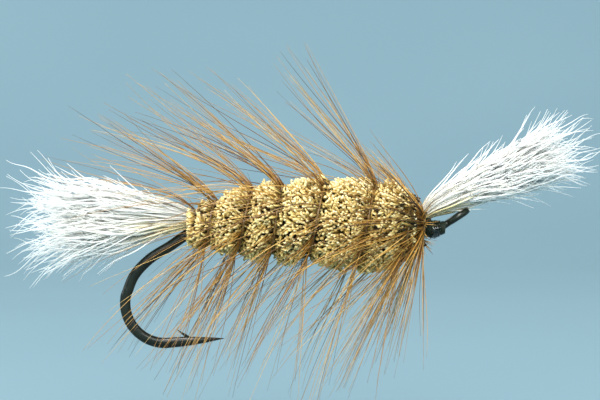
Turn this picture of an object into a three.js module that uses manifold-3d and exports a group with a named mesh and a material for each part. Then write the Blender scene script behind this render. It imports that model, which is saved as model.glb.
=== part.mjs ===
// A hair-bodied, palmered dry fly on an up-eyed loop hook. Millimetres, +X towards the eye, +Z up.
// The origin is the centre of the hook's eye. The near side of the fly is -Y.
// Hair and feather are plain closed solids here: locks, clipped bundles and tapered spines.
import * as THREE from "three";
import { mergeVertices } from "three/addons/utils/BufferGeometryUtils.js";
import Module from "manifold-3d";

const wasm = await Module();
wasm.setup();

// Hook
const WIRE_RADIUS = 0.58;
const EYE_WIRE_RADIUS = 0.36;
const RETURN_TIP_RADIUS = 0.18;
const SHANK_Z = -1.38;
const SHANK_FRONT_X = -4.4;
const SHANK_REAR_X = -28.2;
const EYE_SLOPE = THREE.MathUtils.degToRad(33);
const EYE_HALF_LENGTH = 1.25;
const EYE_HALF_WIDTH = 0.86;
const EYE_GAP_ANGLE = THREE.MathUtils.degToRad(28); // each side of the place where the loop closes
const BEND_CENTRE = new THREE.Vector3(-32.1, 0, -9.45);
const BEND_RADIUS = 4.4;
const FORGED_HALF_THICKNESS = 0.4;
const BEND_START_ANGLE = 170;
const BEND_END_ANGLE = 270;
const POINT_TIP = new THREE.Vector3(-25.6, 0, -13.35);
const POINT_TAPER = [[0.35, 0.53], [0.55, 0.42], [0.8, 0.22], [1, 0.03]]; // share of the way, radius
const BARB_SPINE = [[-29.3, -13.45, 0.3], [-30.0, -12.95, 0.2], [-30.85, -12.35, 0.03]]; // x, z, radius
const WIRE_SIDES = 12;
const EYE_STEPS = 16;
const SLOPE_STEPS = 10;
const BEND_STEPS = 12;

// Clipped deer-hair body
const BUNDLE_COUNT = 7;
const BODY_REAR_X = -29.35;
const BODY_FRONT_X = -4.95;
const BUNDLE_GAP = 0.04;
const BODY_SIDES = 20;
const BODY_STATIONS = 7;
const GROOVE_DEPTH = 0.62;
const GROOVE_HALF_WIDTH = 0.6;
const GROOVE_SHARE = 0.14; // the groove is never deeper than this share of the radius
const BUNDLE_BORE = 0.66;
const BINDING_BORE = 1.0;
const BINDING_SHARE = [0.3, 0.7]; // the wide part of the bore, as shares of the bundle's length
const TAIL_CAVITY = { z: -0.98, halfHeight: 1.42, halfWidth: 1.05, frontX: -26.7 };

// Body shape along the shank: x, radius, height of the section's centre
const BODY_PROFILE = [
  [-29.6, 2.0, -1.1],
  [-28.0, 2.6, -1.0],
  [-24.5, 3.75, -0.72],
  [-20.7, 4.4, -0.55],
  [-16.7, 4.6, -0.45],
  [-11.5, 5.1, -0.8],
  [-7.6, 4.85, -1.0],
  [-5.9, 4.1, -1.0],
  [-4.6, 2.7, -1.0],
];

// Tying thread
const THREAD_SIDES = 16;
const THREAD_BORE = 0.595;
const THREAD_BASE_RADIUS = 0.69;
const THREAD_RIDGE = 0.06; // how far every other turn stands out
const WIRE_CLEARANCE = 0.03;
const BUNDLE_THREAD_RADIUS = 0.87;
const TAIL_BINDING = { rear: -27.85, front: -27.1, turns: 4, z: -0.98, halfHeight: 1.2, halfWidth: 0.88 };
const WING_BINDING = { rear: -3.42, front: -2.98, turns: 3, z: -0.86, halfHeight: 1.32, halfWidth: 1.18 };
const WHIP_FINISH = { rear: -1.81, front: -1.36, turns: 4, halfHeight: 0.62, halfWidth: 0.95 };
const HEAD_PROFILE = [[-2.92, 0.84, 1.3], [-2.6, 0.85, 1.3], [-2.2, 0.8, 1.18], [-1.85, 0.72, 1.05]];
const HEAD_RISE = 0.22;
const CEMENT_GAP = 0.03;
const CEMENT_THICKNESS = 0.06;

// Hackle: x where each turn of the quill passes over the top of the fly, from rear to front
const TURN_TOPS = [-29.0, -26.5, -22.3, -19.1, -14.3, -8.7, -4.45, -4.02, -3.62];
const BODY_TURNS = 6;
const QUILL_REAR_RADIUS = 0.1;
const QUILL_FRONT_RADIUS = 0.17;
const QUILL_CLEARANCE = 0.24;
const COLLAR_RADIUS = 1.36;
const COLLAR_Z = -1.0;
const STEPS_PER_TURN = 16;
const BARB_ROOT_RADIUS = 0.13;
const BARB_TIP_RADIUS = 0.03;
const BARB_LENGTH = 17;
const WEB_THICKNESS = 0.12;
const WEB_GAP = 0.05;
const TURN_GAP = 0.02; // between the webs of neighbouring turns, in turns
const COLLAR_DROP = 0.3; // turns that the quill takes to run down the body's front face
const BODY_BARB_LEAN = { top: 0.75, bottom: 0.22 }; // backwards from straight out, in radians
const COLLAR_BARB_LEAN = { top: 0.32, bottom: 0.12 };

// Hair bundles: butts on the shank, then a fan of locks
const LOCK_COUNT = 11;
const LOCK_SIDES = 5;
const LOCK_STEPS = 5;
const LOCK_RADIUS = 0.6;
const TAIL_FAN = { root: [-29.7, 0, -0.15], heading: [-1, 0, 0.03], length: 20, spread: 3.9 };
const WING_FAN = { root: [-2.7, 0, 0.62], heading: [1, 0, 0.39], length: 19.5, spread: 3.6 };
const TAIL_BUTTS = [[-26.95, -0.35, 0.35], [-28.4, -0.3, 0.38], [-30.2, -0.1, 0.7]]; // x, z, radius
const WING_BUTTS = [[-4.85, -0.35, 0.34], [-3.9, -0.3, 0.38], [-3.3, -0.1, 0.42], [-2.6, 0.62, 0.55]];

const GOLDEN_ANGLE = Math.PI * (3 - Math.sqrt(5));
const X_AXIS = new THREE.Vector3(1, 0, 0);
const Y_AXIS = new THREE.Vector3(0, 1, 0);

const { lerp, smoothstep, clamp } = THREE.MathUtils;
const point = (x, y, z) => new THREE.Vector3(x, y, z);

// ---- Closed bodies ----

// Skins equal-sized rings of points, either capped at both ends or joined last to first as a tunnel.
function skin(rings, closed = false) {
  const size = rings[0].length;
  const positions = rings.flat().flatMap((p) => [p.x, p.y, p.z]);
  const faces = [];
  const spans = closed ? rings.length : rings.length - 1;
  for (let i = 0; i < spans; i++) {
    const here = i * size;
    const next = ((i + 1) % rings.length) * size;
    for (let k = 0; k < size; k++) {
      const side = (k + 1) % size;
      faces.push(here + k, here + side, next + side);
      faces.push(here + k, next + side, next + k);
    }
  }
  if (!closed) {
    const last = (rings.length - 1) * size;
    for (let k = 1; k < size - 1; k++) {
      faces.push(0, k + 1, k);
      faces.push(last, last + k, last + k + 1);
    }
  }
  const geometry = new THREE.BufferGeometry();
  geometry.setAttribute("position", new THREE.Float32BufferAttribute(positions, 3));
  geometry.setIndex(faces);
  return geometry;
}

function toSolid(geometry) {
  const bare = geometry.clone();
  bare.deleteAttribute("normal");
  bare.deleteAttribute("uv");
  const merged = mergeVertices(bare, 1e-4);
  return new wasm.Manifold(new wasm.Mesh({
    numProp: 3,
    vertProperties: new Float32Array(merged.attributes.position.array),
    triVerts: new Uint32Array(merged.index.array),
  }));
}

function toGeometry(solid) {
  const mesh = solid.getMesh();
  const positions = new Float32Array(mesh.vertProperties);
  const geometry = new THREE.BufferGeometry();
  geometry.setAttribute("position", new THREE.BufferAttribute(positions, 3));
  geometry.setIndex(new THREE.BufferAttribute(new Uint32Array(mesh.triVerts), 1));
  return geometry;
}

function joined(geometries) {
  const solids = geometries.map(toSolid);
  return toGeometry(solids.reduce((all, one) => all.add(one)));
}

function cut(geometry, ...tools) {
  return toGeometry(tools.reduce((left, tool) => left.subtract(toSolid(tool)), toSolid(geometry)));
}

// A round tapered rod through points, with a radius for each point.
function rod(points, radii, sides) {
  const start = points[1].clone().sub(points[0]).normalize();
  let across = Math.abs(start.y) > 0.9 ? X_AXIS : Y_AXIS;
  const rings = points.map((p, i) => {
    const before = points[Math.max(i - 1, 0)];
    const after = points[Math.min(i + 1, points.length - 1)];
    const along = after.clone().sub(before).normalize();
    const side = across.clone().addScaledVector(along, -across.dot(along)).normalize();
    const up = along.clone().cross(side).normalize();
    across = side;
    return Array.from({ length: sides }, (_, k) => {
      const angle = (2 * Math.PI * k) / sides;
      return p.clone()
        .addScaledVector(up, radii[i] * Math.cos(angle))
        .addScaledVector(side, -radii[i] * Math.sin(angle));
    });
  });
  return skin(rings);
}

// A rod in the plane of the bend, given as [x, z, radius].
function planeRod(spine, sides, grow = 0) {
  return rod(spine.map(([x, z]) => point(x, 0, z)), spine.map(([, , r]) => r + grow), sides);
}

// An ellipse across the shank: its plane is x, its centre is at height z.
function crossRing(x, z, halfHeight, halfWidth, sides) {
  return Array.from({ length: sides }, (_, k) => {
    const angle = (2 * Math.PI * k) / sides;
    return point(x, -halfWidth * Math.sin(angle), z + halfHeight * Math.cos(angle));
  });
}

// ---- Hook ----

const eyeAlong = point(Math.cos(EYE_SLOPE), 0, Math.sin(EYE_SLOPE));
const eyeNormal = point(-Math.sin(EYE_SLOPE), 0, Math.cos(EYE_SLOPE));

// The wire's tapered end comes forward beside the shank, goes round the eye and back into the shank.
function eyeStations() {
  const returnLeg = [
    { p: point(-3.75, 0.88, SHANK_Z), r: RETURN_TIP_RADIUS },
    { p: point(-2.7, 0.84, -1.36), r: 0.26 },
    { p: point(-1.75, 0.58, -1.1), r: 0.32 },
  ];
  const loop = Array.from({ length: EYE_STEPS + 1 }, (_, i) => {
    const angle = lerp(Math.PI - EYE_GAP_ANGLE, EYE_GAP_ANGLE - Math.PI, i / EYE_STEPS);
    const p = eyeAlong.clone().multiplyScalar(EYE_HALF_LENGTH * Math.cos(angle));
    return { p: p.addScaledVector(Y_AXIS, EYE_HALF_WIDTH * Math.sin(angle)), r: EYE_WIRE_RADIUS };
  });
  const neck = [
    { p: point(-1.75, -0.36, -1.1), r: 0.4 },
    { p: point(-2.6, -0.16, -1.34), r: 0.47 },
  ];
  return [...returnLeg, ...loop, ...neck].map((s) => ({ ...s, inEye: true }));
}

// Shank, the easy slope behind the body, the round of the bend and the point.
function bendStations() {
  const stations = [
    { p: point(SHANK_FRONT_X, 0, SHANK_Z), r: WIRE_RADIUS, flat: WIRE_RADIUS },
    { p: point(SHANK_REAR_X, 0, SHANK_Z), r: WIRE_RADIUS, flat: WIRE_RADIUS },
  ];
  const slope = new THREE.CatmullRomCurve3([
    point(SHANK_REAR_X, 0, SHANK_Z),
    point(-29.5, 0, -1.85),
    point(-31.6, 0, -3.22),
    point(-33.8, 0, -4.62),
    point(-35.5, 0, -6.45),
    arcPoint(BEND_START_ANGLE),
  ], false, "centripetal");
  for (let i = 1; i < SLOPE_STEPS; i++) {
    const along = i / SLOPE_STEPS;
    const flat = lerp(WIRE_RADIUS, FORGED_HALF_THICKNESS, smoothstep(along, 0.1, 0.6));
    stations.push({ p: slope.getPointAt(along), r: WIRE_RADIUS, flat });
  }
  for (let i = 0; i <= BEND_STEPS; i++) {
    const p = arcPoint(lerp(BEND_START_ANGLE, BEND_END_ANGLE, i / BEND_STEPS));
    stations.push({ p, r: WIRE_RADIUS, flat: FORGED_HALF_THICKNESS });
  }
  const start = arcPoint(BEND_END_ANGLE);
  for (const [along, r] of POINT_TAPER) {
    const flat = Math.min(r, FORGED_HALF_THICKNESS);
    stations.push({ p: start.clone().lerp(POINT_TIP, along), r, flat });
  }
  return stations;
}

function arcPoint(degrees) {
  const angle = THREE.MathUtils.degToRad(degrees);
  const spoke = point(Math.cos(angle), 0, Math.sin(angle));
  return spoke.multiplyScalar(BEND_RADIUS).add(BEND_CENTRE);
}

// The wire as rings: `grow` makes the same wire fatter, as a cutting tool that leaves a clearance.
function wire(grow = 0) {
  const stations = [...eyeStations(), ...bendStations()];
  const rings = stations.map((station, i) => {
    const before = stations[Math.max(i - 1, 0)].p;
    const after = stations[Math.min(i + 1, stations.length - 1)].p;
    const along = after.clone().sub(before).normalize();
    const { up, side } = station.inEye ? eyeFrame(along) : bendFrame(along);
    const r = station.r + grow;
    const flat = (station.flat ?? station.r) + grow;
    return Array.from({ length: WIRE_SIDES }, (_, k) => {
      const angle = (2 * Math.PI * (k + 0.5)) / WIRE_SIDES;
      return station.p.clone()
        .addScaledVector(up, r * Math.cos(angle))
        .addScaledVector(side, clamp(r * Math.sin(angle), -flat, flat));
    });
  });
  return skin(rings);
}

function eyeFrame(along) {
  const up = eyeNormal.clone().addScaledVector(along, -eyeNormal.dot(along)).normalize();
  return { up, side: along.clone().cross(up) };
}

function bendFrame(along) {
  return { up: Y_AXIS.clone().cross(along).normalize(), side: Y_AXIS };
}

function hook() {
  return joined([wire(), planeRod(BARB_SPINE, 4)]);
}

// ---- Body of clipped deer hair ----

function profileAt(x) {
  const last = BODY_PROFILE.length - 1;
  let i = 0;
  while (i < last - 1 && BODY_PROFILE[i + 1][0] < x) i++;
  const [x0, r0, z0] = BODY_PROFILE[i];
  const [x1, r1, z1] = BODY_PROFILE[i + 1];
  const t = clamp((x - x0) / (x1 - x0), 0, 1);
  return { radius: lerp(r0, r1, t), z: lerp(z0, z1, t) };
}

// x of the quill after a number of turns; whole turns are at the top of the fly.
function quillX(turns) {
  const i = clamp(Math.floor(turns), 0, TURN_TOPS.length - 2);
  return lerp(TURN_TOPS[i], TURN_TOPS[i + 1], turns - i);
}

// Body radius at x and at an angle from the top towards the near side, with the quill's groove in it.
function bodyRadius(x, angle) {
  const smooth = profileAt(x).radius;
  let nearest = Infinity;
  for (let k = 0; k <= BODY_TURNS + 1; k++) {
    nearest = Math.min(nearest, Math.abs(x - quillX(k - angle / (2 * Math.PI))));
  }
  const groove = GROOVE_DEPTH * Math.exp(-((nearest / GROOVE_HALF_WIDTH) ** 2));
  return smooth - Math.min(groove, GROOVE_SHARE * smooth);
}

function bundleSpan(index) {
  const length = (BODY_FRONT_X - BODY_REAR_X) / BUNDLE_COUNT;
  const rear = BODY_REAR_X + index * length;
  return { rear: rear + BUNDLE_GAP / 2, front: rear + length - BUNDLE_GAP / 2 };
}

function bodyRing(x) {
  const { z } = profileAt(x);
  return Array.from({ length: BODY_SIDES }, (_, k) => {
    const angle = (2 * Math.PI * k) / BODY_SIDES;
    const r = bodyRadius(x, angle);
    return point(x, -r * Math.sin(angle), z + r * Math.cos(angle));
  });
}

function hairBundle(index) {
  const { rear, front } = bundleSpan(index);
  const outer = [];
  for (let i = 0; i < BODY_STATIONS; i++) {
    outer.push(bodyRing(lerp(rear, front, i / (BODY_STATIONS - 1))));
  }
  const inner = index === 0 ? tailCavity(rear, front) : bindingBore(rear, front);
  return skin([...outer, ...inner], true);
}

// Rings of the bore, from front to rear, wider in the middle where the binding thread sits.
function bindingBore(rear, front) {
  const bore = (along, r) => crossRing(lerp(rear, front, along), SHANK_Z, r, r, BODY_SIDES);
  const wide = BINDING_SHARE.map((along) => bore(along, BINDING_BORE)).reverse();
  return [bore(1, BUNDLE_BORE), ...wide, bore(0, BUNDLE_BORE)];
}

// The first bundle is packed round the tail butts, so its bore is one wide oval at the rear.
function tailCavity(rear, front) {
  const { z, halfHeight, halfWidth, frontX } = TAIL_CAVITY;
  const oval = (x) => crossRing(x, z, halfHeight, halfWidth, BODY_SIDES);
  const shankHole = crossRing(front, SHANK_Z, BUNDLE_BORE, BUNDLE_BORE, BODY_SIDES);
  return [shankHole, oval(frontX), oval(rear)];
}

// ---- Tying thread ----

// Rings of a winding, where every other turn stands out by the ridge; `height` gives the centre's z at x.
function windingRings({ rear, front, turns, halfHeight, halfWidth }, height, sides = THREAD_SIDES) {
  return Array.from({ length: turns }, (_, i) => {
    const x = lerp(rear, front, i / (turns - 1));
    const ridge = i % 2 ? THREAD_RIDGE : 0;
    return crossRing(x, height(x), halfHeight + ridge, halfWidth + ridge, sides);
  });
}

// A winding with a plain oval bore.
function winding(shape, boreHalfHeight, boreHalfWidth, sides = THREAD_SIDES) {
  const outer = windingRings(shape, () => shape.z, sides);
  const bore = (x) => crossRing(x, shape.z, boreHalfHeight, boreHalfWidth, sides);
  return skin([...outer, bore(shape.front), bore(shape.rear)], true);
}

// A single layer of thread on the bare shank.
function threadBase(rear, front) {
  const radius = THREAD_BASE_RADIUS - THREAD_RIDGE;
  const layer = { rear, front, turns: 3, z: SHANK_Z, halfHeight: radius, halfWidth: radius };
  return winding(layer, THREAD_BORE, THREAD_BORE);
}

// The turns at the waist of a bundle, which flare it and hold it to the shank.
function bundleBinding(index) {
  const { rear, front } = bundleSpan(index);
  const waist = { rear: lerp(rear, front, 0.36), front: lerp(rear, front, 0.64), turns: 5, z: SHANK_Z };
  const radius = BUNDLE_THREAD_RADIUS;
  return winding({ ...waist, halfHeight: radius, halfWidth: radius }, THREAD_BORE, THREAD_BORE, 12);
}

function tailBinding() {
  const { halfHeight, halfWidth } = TAIL_BINDING;
  return winding(TAIL_BINDING, halfHeight - THREAD_RIDGE, halfWidth - THREAD_RIDGE);
}

function wingBinding() {
  const solid = skin(windingRings(WING_BINDING, () => WING_BINDING.z));
  return cut(solid, wire(WIRE_CLEARANCE), planeRod(WING_BUTTS, 8, WIRE_CLEARANCE));
}

// The head leans up towards the eye.
function headZ(x) {
  return SHANK_Z + HEAD_RISE * smoothstep(x, -2.6, -1.3);
}

function headRings(grow = 0) {
  return HEAD_PROFILE.map(([x, h, w]) => crossRing(x, headZ(x), h + grow, w + grow, THREAD_SIDES));
}

function headThread() {
  return cut(skin(headRings()), wire(WIRE_CLEARANCE));
}

function whipFinish() {
  return cut(skin(windingRings(WHIP_FINISH, headZ)), wire(WIRE_CLEARANCE));
}

// Clear coat: a thin sleeve that follows the head.
function headCement() {
  const outside = headRings(CEMENT_GAP + CEMENT_THICKNESS);
  const inside = headRings(CEMENT_GAP).reverse();
  return skin([...outside, ...inside], true);
}

// ---- Hackle ----

// Place on the quill's path after a number of turns: its centre, and outward direction.
function quillAt(turns, lift = 0) {
  const x = quillX(turns);
  const angle = -2 * Math.PI * turns;
  const wrapped = THREE.MathUtils.euclideanModulo(angle, 2 * Math.PI);
  const onCollar = smoothstep(turns, BODY_TURNS, BODY_TURNS + COLLAR_DROP);
  const onBody = bodyRadius(x, wrapped) + quillRadius(turns) + QUILL_CLEARANCE;
  const r = lerp(onBody, COLLAR_RADIUS, onCollar) + lift;
  const z = lerp(profileAt(x).z, COLLAR_Z, onCollar);
  const out = point(0, -Math.sin(angle), Math.cos(angle));
  return { p: point(x, 0, z).addScaledVector(out, r), out };
}

function quillRadius(turns) {
  return lerp(QUILL_REAR_RADIUS, QUILL_FRONT_RADIUS, clamp(turns / (TURN_TOPS.length - 1), 0, 1));
}

function windings(from, to) {
  const steps = Math.round((to - from) * STEPS_PER_TURN);
  return Array.from({ length: steps + 1 }, (_, i) => lerp(from, to, i / steps));
}

function hackleStem() {
  const turns = windings(0, TURN_TOPS.length - 1);
  return rod(turns.map((t) => quillAt(t).p), turns.map(quillRadius), 4);
}

// The dense web at the foot of the barbs: a flat band just outside the quill.
function web(from, to) {
  const rings = windings(from, to).map((turns) => {
    const foot = quillRadius(turns) + WEB_GAP;
    const low = quillAt(turns, foot).p;
    const high = quillAt(turns, foot + WEB_THICKNESS).p;
    const half = 0.9 * quillRadius(turns);
    const corner = (p, dx) => point(p.x + dx, p.y, p.z);
    return [corner(low, half), corner(low, -half), corner(high, -half), corner(high, half)];
  });
  return skin(rings);
}

// A barb stands out from the quill and curves back.
function barb(turns, length, lean) {
  const { p, out } = quillAt(turns, quillRadius(turns) + WEB_GAP + WEB_THICKNESS / 2);
  const leaned = (angle) =>
    out.clone().multiplyScalar(Math.cos(angle)).addScaledVector(X_AXIS, -Math.sin(angle));
  const middle = p.clone().addScaledVector(leaned(0.85 * lean), length / 2);
  const tip = middle.clone().addScaledVector(leaned(1.15 * lean), length / 2);
  const radii = [BARB_ROOT_RADIUS, 0.7 * BARB_ROOT_RADIUS, BARB_TIP_RADIUS];
  return rod([p, middle, tip], radii, 3);
}

// One barb at each step of the web. They lean most at the top of the fly and least underneath.
function barbs(from, to, leans) {
  return windings(from, to).slice(1, -1).map((turns, i) => {
    const height = Math.cos(2 * Math.PI * turns);
    const lean = lerp(leans.bottom, leans.top, (height + 1) / 2);
    const length = BARB_LENGTH * (0.8 + 0.2 * Math.abs(Math.sin(GOLDEN_ANGLE * i + from)));
    return barb(turns, length, lean);
  });
}

function hackleBarbs(turn) {
  const from = turn + TURN_GAP;
  const lastTurn = turn === BODY_TURNS - 1;
  const to = turn + 1 - (lastTurn ? COLLAR_DROP / 2 : TURN_GAP);
  return joined([web(from, to), ...barbs(from, to, BODY_BARB_LEAN)]);
}

function hackleCollar() {
  const from = BODY_TURNS + COLLAR_DROP;
  const to = TURN_TOPS.length - 1 - TURN_GAP;
  return joined([web(from, to), ...barbs(from, to, COLLAR_BARB_LEAN)]);
}

// ---- Tail and wing ----

// One lock of hair: thickest near its middle, drawn to a fine tip, and bowed away from the fan's axis.
function lock(root, along, aside, reach, bow) {
  const points = [];
  const radii = [];
  for (let step = 0; step <= LOCK_STEPS; step++) {
    const t = step / LOCK_STEPS;
    const belly = 0.45 + 2.2 * t * (1 - t) ** 0.8;
    const away = bow * (0.08 + 0.92 * t ** 1.6);
    points.push(root.clone().addScaledVector(along, reach * t).addScaledVector(aside, away));
    radii.push(LOCK_RADIUS * belly * (1 - 0.9 * t ** 4) + BARB_TIP_RADIUS);
  }
  return rod(points, radii, LOCK_SIDES);
}

// Locks that leave one root and fan out, joined to the butts that are bound on the shank behind the root.
function hairFan({ root, heading, length, spread }, butts) {
  const along = point(...heading).normalize();
  const up = along.clone().cross(Y_AXIS).normalize();
  const locks = Array.from({ length: LOCK_COUNT }, (_, i) => {
    const angle = GOLDEN_ANGLE * i;
    const off = Math.sqrt(i / LOCK_COUNT);
    const aside = up.clone().multiplyScalar(Math.cos(angle)).addScaledVector(Y_AXIS, Math.sin(angle));
    return lock(point(...root), along, aside, length * (1 - 0.22 * off), spread * off);
  });
  return joined([planeRod(butts, 8), ...locks]);
}

// ---- Assembly ----

const MATERIALS = {
  hook_black: { color: 0x14160f, roughness: 0.25, metalness: 0.6 },
  thread_black: { color: 0x0d0f0c, roughness: 0.7, metalness: 0 },
  cement_clear: { color: 0x2a2b24, roughness: 0.1, metalness: 0 },
  calf_white: { color: 0xf1f1ea, roughness: 0.6, metalness: 0 },
  deer_cream: { color: 0xcbb887, roughness: 0.9, metalness: 0 },
  quill_ginger: { color: 0x8a5a2c, roughness: 0.5, metalness: 0 },
  barb_ginger: { color: 0xa8733a, roughness: 0.5, metalness: 0 },
};

const fly = new THREE.Group();

function place(name, material, geometry) {
  const mesh = new THREE.Mesh(geometry, new THREE.MeshStandardMaterial(MATERIALS[material]));
  mesh.name = name;
  fly.add(mesh);
}

place("hook", "hook_black", hook());
place("thread_base_rear", "thread_black", threadBase(-28.1, -26.75));
place("thread_base_front", "thread_black", threadBase(-4.85, -3.5));
place("tail", "calf_white", hairFan(TAIL_FAN, TAIL_BUTTS));
place("tail_binding", "thread_black", tailBinding());
for (let i = 0; i < BUNDLE_COUNT; i++) {
  place(`hair_bundle_${i + 1}`, "deer_cream", hairBundle(i));
}
for (let i = 1; i < BUNDLE_COUNT; i++) {
  place(`bundle_binding_${i + 1}`, "thread_black", bundleBinding(i));
}
place("hackle_stem", "quill_ginger", hackleStem());
for (let i = 0; i < BODY_TURNS; i++) {
  place(`hackle_barbs_${i + 1}`, "barb_ginger", hackleBarbs(i));
}
place("hackle_collar", "barb_ginger", hackleCollar());
place("wing", "calf_white", hairFan(WING_FAN, WING_BUTTS));
place("wing_binding", "thread_black", wingBinding());
place("head_thread", "thread_black", headThread());
place("whip_finish", "thread_black", whipFinish());
place("head_cement", "cement_clear", headCement());

export default fly;
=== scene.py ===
"""Looks of a hair-bodied, palmered dry fly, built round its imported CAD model.

Shapes are worked out in millimetres in the CAD frame: +X towards the eye, +Z up, near side -Y, and
the origin at the centre of the hook's eye. Hair, barbs, thread and wire are all tapered tubes.
"""
import math

import bpy
import numpy as np
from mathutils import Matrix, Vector


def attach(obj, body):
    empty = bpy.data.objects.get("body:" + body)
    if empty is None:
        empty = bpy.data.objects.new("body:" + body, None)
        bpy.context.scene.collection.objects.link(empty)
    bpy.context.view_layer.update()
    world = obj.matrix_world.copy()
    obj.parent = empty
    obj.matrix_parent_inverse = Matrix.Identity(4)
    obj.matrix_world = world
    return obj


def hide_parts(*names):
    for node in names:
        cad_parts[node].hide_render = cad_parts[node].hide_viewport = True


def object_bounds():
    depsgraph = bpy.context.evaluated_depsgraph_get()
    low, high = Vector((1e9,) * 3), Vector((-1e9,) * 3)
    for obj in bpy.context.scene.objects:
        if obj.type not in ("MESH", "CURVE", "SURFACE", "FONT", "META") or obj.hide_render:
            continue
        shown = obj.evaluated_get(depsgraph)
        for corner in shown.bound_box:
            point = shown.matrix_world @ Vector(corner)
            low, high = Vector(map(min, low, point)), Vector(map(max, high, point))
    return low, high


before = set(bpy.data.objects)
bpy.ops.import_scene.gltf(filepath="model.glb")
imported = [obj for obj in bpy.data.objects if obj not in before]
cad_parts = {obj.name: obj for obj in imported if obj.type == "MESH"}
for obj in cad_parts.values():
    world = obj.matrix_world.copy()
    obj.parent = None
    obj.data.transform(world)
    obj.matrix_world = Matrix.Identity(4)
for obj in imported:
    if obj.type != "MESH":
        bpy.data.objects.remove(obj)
cad_low, cad_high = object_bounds()

MM = 0.001
UV_LAYER = "OFBake"
TAU = 2 * math.pi

# Hook, as in the CAD model
WIRE_RADIUS = 0.58
EYE_WIRE_RADIUS = 0.36
SHANK_Z = -1.38
SHANK_FRONT_X = -4.4
SHANK_REAR_X = -28.2
EYE_SLOPE = math.radians(33)
EYE_HALF_LENGTH = 1.25
EYE_HALF_WIDTH = 0.86
EYE_GAP_ANGLE = math.radians(28)
BEND_CENTRE = np.array([-32.1, 0.0, -9.45])
BEND_RADIUS = 4.4
BEND_ARC = (170, 270)  # degrees
FORGED_HALF_THICKNESS = 0.4
POINT_TIP = np.array([-25.6, 0.0, -13.35])
POINT_TAPER = [(0.12, 0.58), (0.35, 0.53), (0.55, 0.42), (0.8, 0.22), (1.0, 0.02)]  # share, radius
BARB_SPINE = [  # x, z, radius
    (-29.2, -13.5, 0.3), (-29.6, -13.25, 0.26), (-30.0, -12.95, 0.19), (-30.5, -12.6, 0.09),
    (-30.85, -12.35, 0.02),
]
WIRE_SIDES = 24

# Clipped deer-hair body, as in the CAD model: x, radius, height of the section's centre
BODY_PROFILE = np.array([
    (-29.6, 2.0, -1.1),
    (-28.0, 2.6, -1.0),
    (-24.5, 3.75, -0.72),
    (-20.7, 4.4, -0.55),
    (-16.7, 4.6, -0.45),
    (-11.5, 5.1, -0.8),
    (-7.6, 4.85, -1.0),
    (-5.9, 4.1, -1.0),
    (-4.6, 2.7, -1.0),
])
BUNDLE_COUNT = 7
BODY_REAR_X = -29.35
BODY_FRONT_X = -4.95
GROOVE_DEPTH = 0.62
GROOVE_HALF_WIDTH = 0.6
GROOVE_SHARE = 0.14
CORE_DEPTH = 1.0
CORE_GAP = 0.03
CORE_RINGS = 7
CORE_SIDES = 36
CORE_LEAST_RADIUS = 1.15
SHANK_BORE = (0.66, 0.66, SHANK_Z)  # half-height, half-width, height of the centre
TAIL_BUTTS = (1.12, 1.05, -1.0)
TAIL_BUTTS_FRONT_X = -26.7
HAIR_SPACING = 0.33
TUFT_SIZE = 1.3
END_HAIRS = 300
CLIPPED_STATIONS = np.array([0.0, 0.55, 0.93, 1.0])
CLIPPED_TAPER = np.array([0.75, 1.0, 1.02, 0.82])
CLIPPED_FLATNESS = 0.78
CLIPPED_SIDES = 6

# Hackle, as in the CAD model: x where each turn of the quill passes over the top
TURN_TOPS = [-29.0, -26.5, -22.3, -19.1, -14.3, -8.7, -4.45, -4.02, -3.62]
BODY_TURNS = 6
QUILL_REAR_RADIUS = 0.1
QUILL_FRONT_RADIUS = 0.17
QUILL_CLEARANCE = 0.24
QUILL_STEPS = 400
COLLAR_RADIUS = 1.36
COLLAR_Z = -1.0
COLLAR_DROP = 0.3
QUILL_SINK = 0.34  # the wound quill bites this far into the clipped hair

# Thread, as in the CAD model
THREAD_RADIUS = 0.062
THREAD_BORE = 0.595
SLEEVE_SIDES = 24
WRAP_STEPS = 28
HEAD_PROFILE = np.array([(-2.92, 0.84, 1.3), (-2.6, 0.85, 1.3), (-2.2, 0.8, 1.18), (-1.85, 0.72, 1.05)])
HEAD_RISE = 0.22
FOOT_X = [-3.42, -2.9]
FOOT_HIGH = [0.92, 0.86]
FOOT_WIDE = [1.16, 1.12]
FOOT_Z = [-1.14, -1.2]
FOOT_BORE = 0.62
KNOT_X = np.array([-1.81, -1.36])
KNOT_HIGH = [0.6, 0.56]
KNOT_WIDE = [0.93, 0.85]
CEMENT_SPAN = (-2.9, -1.88)
CEMENT_REACH = 0.2
CEMENT_THICKNESS = 0.06
CEMENT_SIDES = 40


# ---- Meshes made of tubes ----

def unit(vectors):
    return vectors / np.maximum(np.linalg.norm(vectors, axis=-1, keepdims=True), 1e-9)


def across(vectors):
    """A unit vector square to each given one."""
    helper = np.where(np.abs(vectors[..., 1:2]) > 0.8, [1.0, 0.0, 0.0], [0.0, 1.0, 0.0])
    return unit(np.cross(vectors, helper))


def tube_rings(paths, radii, sides, flatness=1.0, up=None):
    """Rings of points round (N, S, 3) centre lines: an (N, S, sides, 3) array."""
    tangents = unit(np.gradient(paths, axis=1))
    side = across(tangents[:, 0]) if up is None else unit(np.cross(up, tangents[:, 0]))
    angles = TAU * np.arange(sides) / sides
    rings = np.empty(paths.shape[:2] + (sides, 3))
    for i in range(paths.shape[1]):
        along = tangents[:, i]
        side = unit(side - along * (side * along).sum(-1, keepdims=True))
        lift = np.cross(along, side)
        across_part = np.cos(angles)[:, None] * side[:, None] * flatness
        offset = across_part + np.sin(angles)[:, None] * lift[:, None]
        rings[:, i] = paths[:, i, None] + radii[:, i, None, None] * offset
    return rings


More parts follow.
